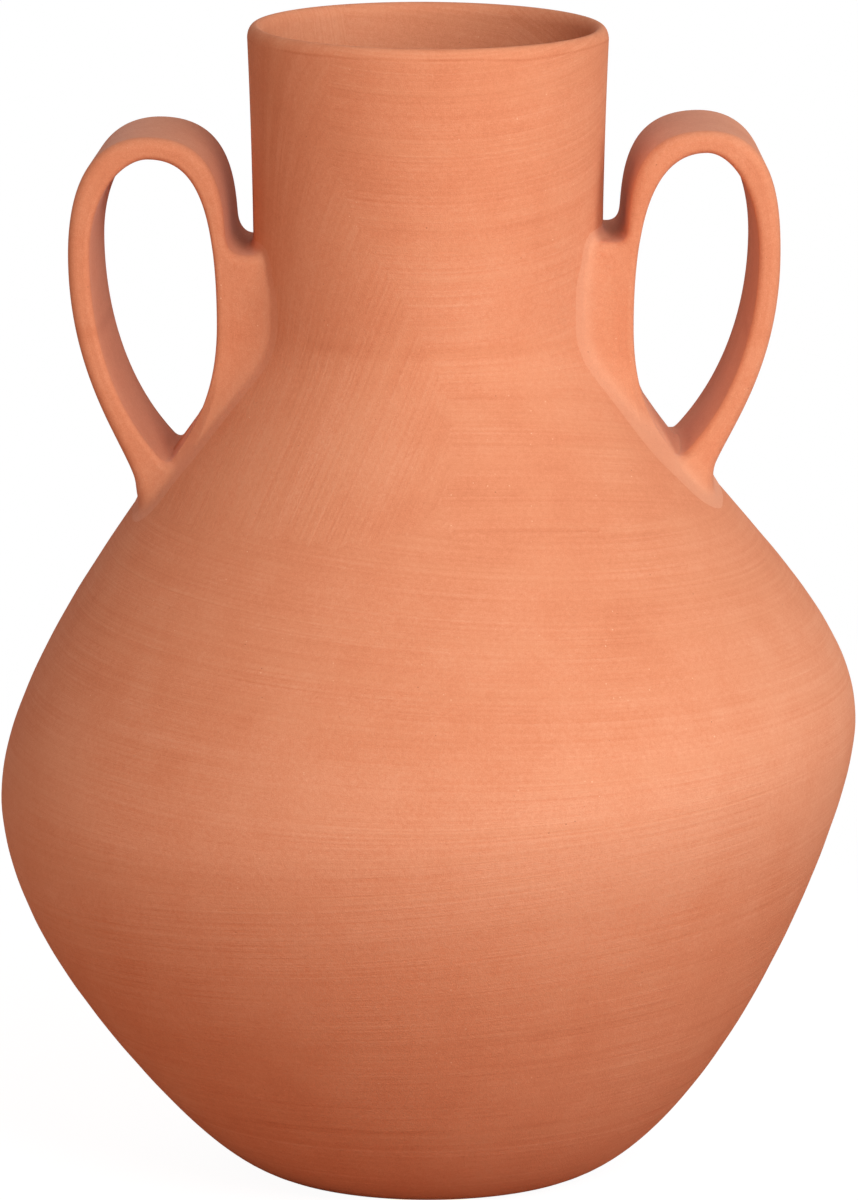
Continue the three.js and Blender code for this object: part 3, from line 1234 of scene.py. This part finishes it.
@dataclass
class ClayBench(NodeBench):
    """A bench that knows the place on the clay in millimetres and mixes patterns from it."""

    streak_detail: float = 3.0
    streak_roughness: float = 0.6
    blot_roughness: float = 0.55
    blot_shift: float = 31.0
    dot_shift: float = 17.0
    dot_rim: tuple[float, float] = (1.25, 0.7)
    stroke_shift: float = 400.0
    raggedness: float = 0.35
    line_waver: float = 2.4
    line_breaks: tuple[float, float] = (-0.12, 0.06)
    spot: Socket = field(init=False)

    def __post_init__(self) -> None:
        """Turns the place on the piece to millimetres."""
        place = self.add("TexCoord").outputs["Object"]
        self.spot = self.add("VectorMath", {0: place, 1: (1 / MM,) * 3}, operation="MULTIPLY").outputs[0]

    def total(self, *parts: tuple[Socket, Socket | float], start: float = 0.0) -> Socket:
        """A start value and the sum of values, each times its own weight.

        Args:
            parts: each value with its weight, which may be another node's output.
            start: what the sum starts from.

        Returns:
            The sum.
        """
        reached: Socket | float = start
        for value, weight in parts:
            inputs = {0: value, 1: weight, 2: reached}
            reached = self.add("Math", inputs, operation="MULTIPLY_ADD").outputs[0]
        return reached

    def shifted(self, shift: float) -> Socket:
        """The place on the clay moved by the same length in every direction."""
        return self.add("VectorMath", {0: self.spot, 1: (shift,) * 3}, operation="ADD").outputs[0]

    def rise(self, value: Socket, low: float, high: float) -> Socket:
        """A soft step from 0 at low to 1 at high."""
        inputs = {"Value": value, "From Min": low, "From Max": high}
        return self.add("MapRange", inputs, interpolation_type="SMOOTHSTEP").outputs[0]

    def noise(self, place: Socket, scale: float, detail: float, roughness: float) -> Socket:
        """Noise about 0.

        Args:
            place: where the noise is read.
            scale: how fast it changes.
            detail: how many finer layers it has.
            roughness: how strong those are.

        Returns:
            The noise, between -0.5 and 0.5.
        """
        inputs = {"Vector": place, "Scale": scale, "Detail": detail, "Roughness": roughness}
        made = self.add("TexNoise", inputs).outputs[0]
        return self.add("Math", {0: made, 1: 0.5}, operation="SUBTRACT").outputs[0]

    def blots(self, kind: Blots) -> Socket:
        """Blots: noise about 0 that changes as fast in every direction."""
        moved = self.shifted(kind.seed * self.blot_shift)
        return self.noise(moved, 1.0 / kind.size, kind.detail, self.blot_roughness)

    def streaks(self, stroke: Socket, layer: Streaks) -> Socket:
        """Streaks: noise about 0 that changes slowly along the strokes and fast across them.

        Args:
            stroke: the place on the stroke.
            layer: the layer of streaks.

        Returns:
            The noise.
        """
        scale = (1.0 / layer.along, 1.0 / layer.along, 1.0 / layer.across)
        inputs = {0: stroke, 1: scale, 2: (layer.seed,) * 3}
        moved = self.add("VectorMath", inputs, operation="MULTIPLY_ADD").outputs[0]
        return self.noise(moved, 1.0, self.streak_detail, self.streak_roughness)

    def stroke(self) -> Socket:
        """Where a place lies on the stroke that went over it: two places along it and one across.

        Sweeps round the pot lie everywhere. Where a kind of stroke is strong enough, its own places take
        over, and a little noise breaks up the border, as a sponge's edge does.

        Returns:
            The place on the stroke in millimetres.
        """
        flat = self.add("SeparateXYZ", {0: self.spot}).outputs
        sweep = self.add("Attribute", attribute_name="sweep").outputs["Fac"]
        place = self.add("CombineXYZ", {0: flat["X"], 1: flat["Y"], 2: sweep}).outputs[0]
        ragged = self.blots(RAGGED_EDGE)
        for number, key in enumerate(("wipe", "arc", "pull"), start=1):
            vector = self.add("Attribute", attribute_name=key).outputs["Vector"]
            parts = self.add("SeparateXYZ", {0: vector}).outputs
            own_inputs = {0: parts["X"], 1: self.stroke_shift * number, 2: parts["Y"]}
            own = self.add("CombineXYZ", own_inputs).outputs[0]
            strength = self.total((parts["Z"], 1.0), (ragged, self.raggedness))
            taken = self.add("Math", {0: strength, 1: 0.5}, operation="GREATER_THAN").outputs[0]
            inputs = {"Factor": taken, VECTOR_FIRST: place, VECTOR_SECOND: own}
            place = self.add("Mix", inputs, data_type="VECTOR").outputs[VECTOR_MIXED]
        return place

    def add_ring_bands(self, tone: Socket) -> Socket:
        """Adds the ring bands to the tone: the turned lines, the belly's painted highlight and the painted
        shade in the neck's crease, each but the belly's broken where the finger pressed less.

        Args:
            tone: the tone so far.

        Returns:
            The tone with the bands.
        """
        ring = self.add("Attribute", attribute_name="ring").outputs["Fac"]
        wandering = self.total((ring, 1.0), (self.blots(LINE_WAVER), self.line_waver))
        pressed = self.rise(self.blots(LINE_BREAKS), *self.line_breaks)
        for line in (BELLY_PAINTED_HIGHLIGHT, *TURNED_LINES_AND_CREASE_SHADE):
            away = self.add("Math", {0: wandering, 1: line.ring}, operation="SUBTRACT").outputs[0]
            near = self.add("Math", {0: away}, operation="ABSOLUTE").outputs[0]
            shown = self.rise(near, line.width, 0.0)
            shown = shown if line is BELLY_PAINTED_HIGHLIGHT else self.total((shown, pressed))
            tone = self.total((tone, 1.0), (shown, line.tone))
        return tone

    def dots(self, kind: Dots) -> Socket:
        """A mask of small round dots, one in some of the cells of a scattered grid.

        Args:
            kind: the kind of dots.

        Returns:
            1 in a dot and 0 outside it.
        """
        place = self.shifted(kind.seed * self.dot_shift)
        cell = self.add("TexVoronoi", {"Vector": place, "Scale": 1.0 / kind.spacing})
        rim = (kind.radius / kind.spacing * share for share in self.dot_rim)
        near = self.rise(cell.outputs["Distance"], *rim)
        red = self.add("SeparateColor", {0: cell.outputs["Color"]}).outputs[0]
        chosen = self.add("Math", {0: red, 1: 1.0 - kind.share}, operation="GREATER_THAN").outputs[0]
        return self.total((near, chosen))


@dataclass(frozen=True)
class Earthenware:
    """Unglazed terracotta earthenware, fired once at a low heat after a wipe with a wet sponge.

    To the eye it is a warm matt orange. The wheel and the sponge leave thin streaks that are a little
    darker or paler, grog shows as pale specks, burnt-out grit as dark pits, and fine clay
    brought up by the sponge lies on it in long beige bands. On the pulled straps that fine clay
    leaves a dusty bloom, which pales them where they are seen at a slant.
    """

    name: str
    deep: str = "#BB6A46"
    middle: str = "#D78E69"
    pale: str = "#EAB190"
    slip: str = "#D8956F"
    speck: str = "#F3C9A8"
    pit: str = "#94553B"
    roughness: float = 0.88
    gloss: float = 0.22
    bloom: float = 0.0
    relief_depth: float = 0.12
    relief_show: float = 0.6
    streak_show: float = 1.0
    patch_show: float = 2.6
    slip_show: float = 0.26
    slip_from: tuple[float, float] = (-0.08, 0.2)
    slip_clouds: float = 0.35
    slip_blush: float = 0.3
    crowd_from: tuple[float, float] = (-0.1, 0.2)
    deep_at: float = 0.12
    pale_at: float = 0.88

    def material(self) -> bpy.types.Material:
        """Builds the finish as nodes.

        Returns:
            The material.
        """
        made = bpy.data.materials.new(self.name)
        bench = ClayBench(emptied(made))
        stroke = bench.stroke()
        patches = bench.blots(STREAK_PATCHES)
        shown = bench.total((patches, self.patch_show * self.streak_show), start=self.streak_show)
        layers = [
            *((bench.total((bench.streaks(stroke, kind), shown)), kind) for kind in STREAKS),
            *((bench.blots(kind), kind) for kind in GRAINS),
        ]
        tone = bench.total(*((value, kind.tone) for value, kind in layers))
        height = bench.total(*((value, kind.relief) for value, kind in layers))
        bump_inputs = {"Strength": self.relief_show, "Distance": self.relief_depth * MM, "Height": height}
        clay_inputs = {
            "Base Color": self.colour(bench, stroke, bench.add_ring_bands(tone)),
            "Roughness": self.roughness,
            "Normal": bench.add("Bump", bump_inputs).outputs["Normal"],
            "Specular IOR Level": self.gloss,
            "Sheen Weight": self.bloom,
        }
        clay = bench.add("BsdfPrincipled", clay_inputs)
        bench.add("OutputMaterial", {"Surface": clay.outputs[0]})
        return made

    def colour(self, bench: ClayBench, stroke: Socket, tone: Socket) -> Socket:
        """Clay colour from its tone, with kiln blush, slip in bands and along joints, specks and pits.

        Args:
            bench: where nodes are added.
            stroke: the place on the stroke.
            tone: how much paler or deeper the clay is than its middle colour, with the painted highlight
                over the belly and the painted shade in the neck's crease.

        Returns:
            The colour.
        """
        blush, clouds = bench.blots(BLUSH), bench.blots(CLOUDS)
        whole = bench.total((tone, 1.0), (blush, BLUSH.tone), (clouds, CLOUDS.tone), start=0.5)
        ramp = bench.add("ValToRGB", {"Fac": whole})
        stops = ramp.color_ramp.elements
        stops[0].position, stops[0].color = self.deep_at, linear(self.deep)
        stops[1].position, stops[1].color = self.pale_at, linear(self.pale)
        stops.new(0.5).color = linear(self.middle)
        bands = bench.streaks(stroke, SLIP_BANDS)
        laid = bench.total((bands, 1.0), (clouds, self.slip_clouds), (blush, self.slip_blush))
        smeared = bench.total((bench.rise(laid, *self.slip_from), self.slip_show))
        joint = bench.add("Attribute", attribute_name="joint").outputs["Fac"]
        crowd = bench.rise(bench.blots(DOT_CROWDS), *self.crowd_from)
        specks, pits = (
            bench.total((bench.total((bench.dots(kind), crowd)), kind.strength)) for kind in (SPECKS, PITS)
        )
        colour = ramp.outputs["Color"]
        shades = (self.slip, smeared), (self.pale, joint), (self.speck, specks), (self.pit, pits)
        for shade, amount in shades:
            inputs = {"Factor": amount, COLOUR_FIRST: colour, COLOUR_SECOND: linear(shade)}
            colour = bench.add("Mix", inputs, data_type="RGBA").outputs[COLOUR_MIXED]
        return colour


@dataclass(frozen=True)
class Paper:
    """White backdrop paper, lit so brightly that it washes out, with a faint shadow round the foot."""

    name: str = "backdrop_paper"
    bounced: str = "#B78871"
    shadow: float = 0.13
    lit_level: float = 0.38
    fade_from: float = 160.0
    fade_to: float = 460.0

    def material(self) -> bpy.types.Material:
        """Builds the paper.

        To the camera it glows at 1 less the lit level times a share, and that share of it is plain
        white paper, so it is white where lit and dims in the shadow. The share fades to nothing with
        the distance from the foot. Other rays meet a duller paper.

        Returns:
            The material.
        """
        made = bpy.data.materials.new(self.name)
        bench = NodeBench(emptied(made))
        place = bench.add("TexCoord").outputs["Object"]
        fade_inputs = {
            "Value": bench.add("VectorMath", {0: place}, operation="LENGTH").outputs["Value"],
            "From Min": self.fade_from * MM,
            "From Max": self.fade_to * MM,
            "To Min": self.shadow,
            "To Max": 0.0,
        }
        share = bench.add("MapRange", fade_inputs, interpolation_type="SMOOTHSTEP").outputs[0]
        level_inputs = {0: share, 1: -self.lit_level, 2: 1.0}
        level = bench.add("Math", level_inputs, operation="MULTIPLY_ADD").outputs[0]
        glow = bench.add("Emission", {"Strength": level})
        white = bench.add("BsdfDiffuse", {"Color": share})
        seen = bench.add("AddShader", {0: glow.outputs[0], 1: white.outputs[0]})
        plain = bench.add("BsdfDiffuse", {"Color": linear(self.bounced)})
        camera_ray = bench.add("LightPath").outputs["Is Camera Ray"]
        both = bench.add("MixShader", {0: camera_ray, 1: plain.outputs[0], 2: seen.outputs[0]})
        bench.add("OutputMaterial", {"Surface": both.outputs[0]})
        return made


@dataclass(frozen=True)
class Lamp:
    """A soft round lamp, aimed at the middle of the vase from an azimuth and an elevation in degrees."""

    name: str
    azimuth: float
    elevation: float
    distance: float
    size: float
    strength: float
    colour: str = WHITE

    def place(self, target: Vector) -> None:
        """Puts the lamp in the scene, at an azimuth from the viewer towards the right.

        Args:
            target: the point it is aimed at, in metres.
        """
        around, up = math.radians(self.azimuth), math.radians(self.elevation)
        out = Vector((math.sin(around) * math.cos(up), -math.cos(around) * math.cos(up), math.sin(up)))
        data = bpy.data.lights.new(self.name, "AREA")
        data.shape = "DISK"
        data.size = self.size * MM
        data.energy = self.strength
        data.color = linear(self.colour)[:3]
        lamp = bpy.data.objects.new(self.name, data)
        lamp.location = target + out * self.distance * MM
        lamp.rotation_euler = out.to_track_quat("Z", "Y").to_euler()
        bpy.context.scene.collection.objects.link(lamp)


LAMPS = (
    Lamp("key", 62.0, 15.0, distance=1500.0, size=800.0, strength=8.0),
    Lamp("front", 23.0, 33.0, distance=1500.0, size=700.0, strength=12.9),
    Lamp("fill", -36.0, 10.0, distance=1500.0, size=700.0, strength=4.6, colour="#FFE0CD"),
    Lamp("back", 180.0, 9.0, distance=1800.0, size=3200.0, strength=17.0),
)


@dataclass
class Studio:
    """Floor, lamps, surrounding light and the camera at the photograph's viewing angle."""

    lamps: tuple[Lamp, ...]
    world_colour: str = "#FFE1DA"
    world_strength: float = 0.29
    camera_distance: float = 2600.0
    camera_elevation: float = 11.75
    camera_clip: tuple[float, float] = (100.0, 50000.0)
    aim_height: float = 180.0
    image_height: int = 1200
    image_width: int = 858
    focal_pixels: float = 8343.9
    axis_pixel: tuple[float, float] = (428.0, 598.6)
    sensor: float = 36.0
    floor_half: float = 12000.0

    def camera(self) -> None:
        """Makes the camera.

        Its lens is the sensor's width times the focal length in pixels over the picture's height, and
        its axis is moved so that it meets the frame where the real lens did.
        """
        up = math.radians(self.camera_elevation)
        back = Vector((0.0, -math.cos(up), math.sin(up)))
        rise = Vector((0.0, math.sin(up), math.cos(up)))
        pixel = self.camera_distance / self.focal_pixels
        right = (self.image_width / 2 - self.axis_pixel[0]) * pixel
        down = (self.image_height / 2 - self.axis_pixel[1]) * pixel
        data = bpy.data.cameras.new("camera")
        data.sensor_width = self.sensor
        data.lens = self.focal_pixels * self.sensor / self.image_height
        data.clip_start, data.clip_end = (distance * MM for distance in self.camera_clip)
        camera = bpy.data.objects.new("camera", data)
        target = Vector((right, 0.0, self.aim_height)) - rise * down
        camera.location = (target + back * self.camera_distance) * MM
        camera.rotation_euler = back.to_track_quat("Z", "Y").to_euler()
        bpy.context.scene.collection.objects.link(camera)
        bpy.context.scene.camera = camera

    def floor(self) -> None:
        """Makes a wide level floor at the height of the base."""
        half = self.floor_half * MM
        corners = [(-half, -half, 0.0), (half, -half, 0.0), (half, half, 0.0), (-half, half, 0.0)]
        mesh = bpy.data.meshes.new("floor")
        mesh.from_pydata(corners, [], [(0, 1, 2, 3)])
        mesh.materials.append(Paper().material())
        made = bpy.data.objects.new("floor", mesh)
        bpy.context.scene.collection.objects.link(made)

    def world(self) -> None:
        """Even light from all round, and a white background where the camera sees past the floor."""
        world = bpy.data.worlds.new("studio")
        bench = NodeBench(emptied(world))
        light_inputs = {"Color": linear(self.world_colour), "Strength": self.world_strength}
        light = bench.add("Background", light_inputs)
        white = bench.add("Background", {"Color": linear(WHITE), "Strength": 1.0})
        camera_ray = bench.add("LightPath").outputs["Is Camera Ray"]
        both = bench.add("MixShader", {0: camera_ray, 1: light.outputs[0], 2: white.outputs[0]})
        bench.add("OutputWorld", {"Surface": both.outputs[0]})
        bpy.context.scene.world = world

    def build(self) -> None:
        """Makes the camera, floor, lamps and world."""
        self.camera()
        self.floor()
        self.world()
        for lamp in self.lamps:
            lamp.place(Vector((0.0, 0.0, self.aim_height)) * MM)
        bpy.context.scene.view_settings.view_transform = "Standard"


def main() -> None:
    """Builds the studio and the four pieces of the vase."""
    logging.basicConfig(level=logging.INFO, format="%(name)s: %(message)s")
    Studio(LAMPS).build()
    wall = ThrownWall()
    strokes = Strokes(wall)
    thrown = Earthenware("unglazed_terracotta_thrown").material()
    collar = Earthenware("unglazed_terracotta_brushed").material()
    smoothed = Earthenware("unglazed_terracotta_pulled", bloom=0.09, streak_show=0.4, slip_show=0.22)
    pulled = smoothed.material()
    Body(wall, strokes).dress(thrown, "body", "body_clay")
    Neck(wall, strokes).dress(collar, "neck", "neck_clay")
    StrapHandle(wall, strokes, LEFT_RUN).dress(pulled, "left_handle", "handle_clay")
    StrapHandle(wall, strokes, RIGHT_RUN).dress(pulled, "right_handle", "handle_clay")


if __name__ == "__main__":
    main()
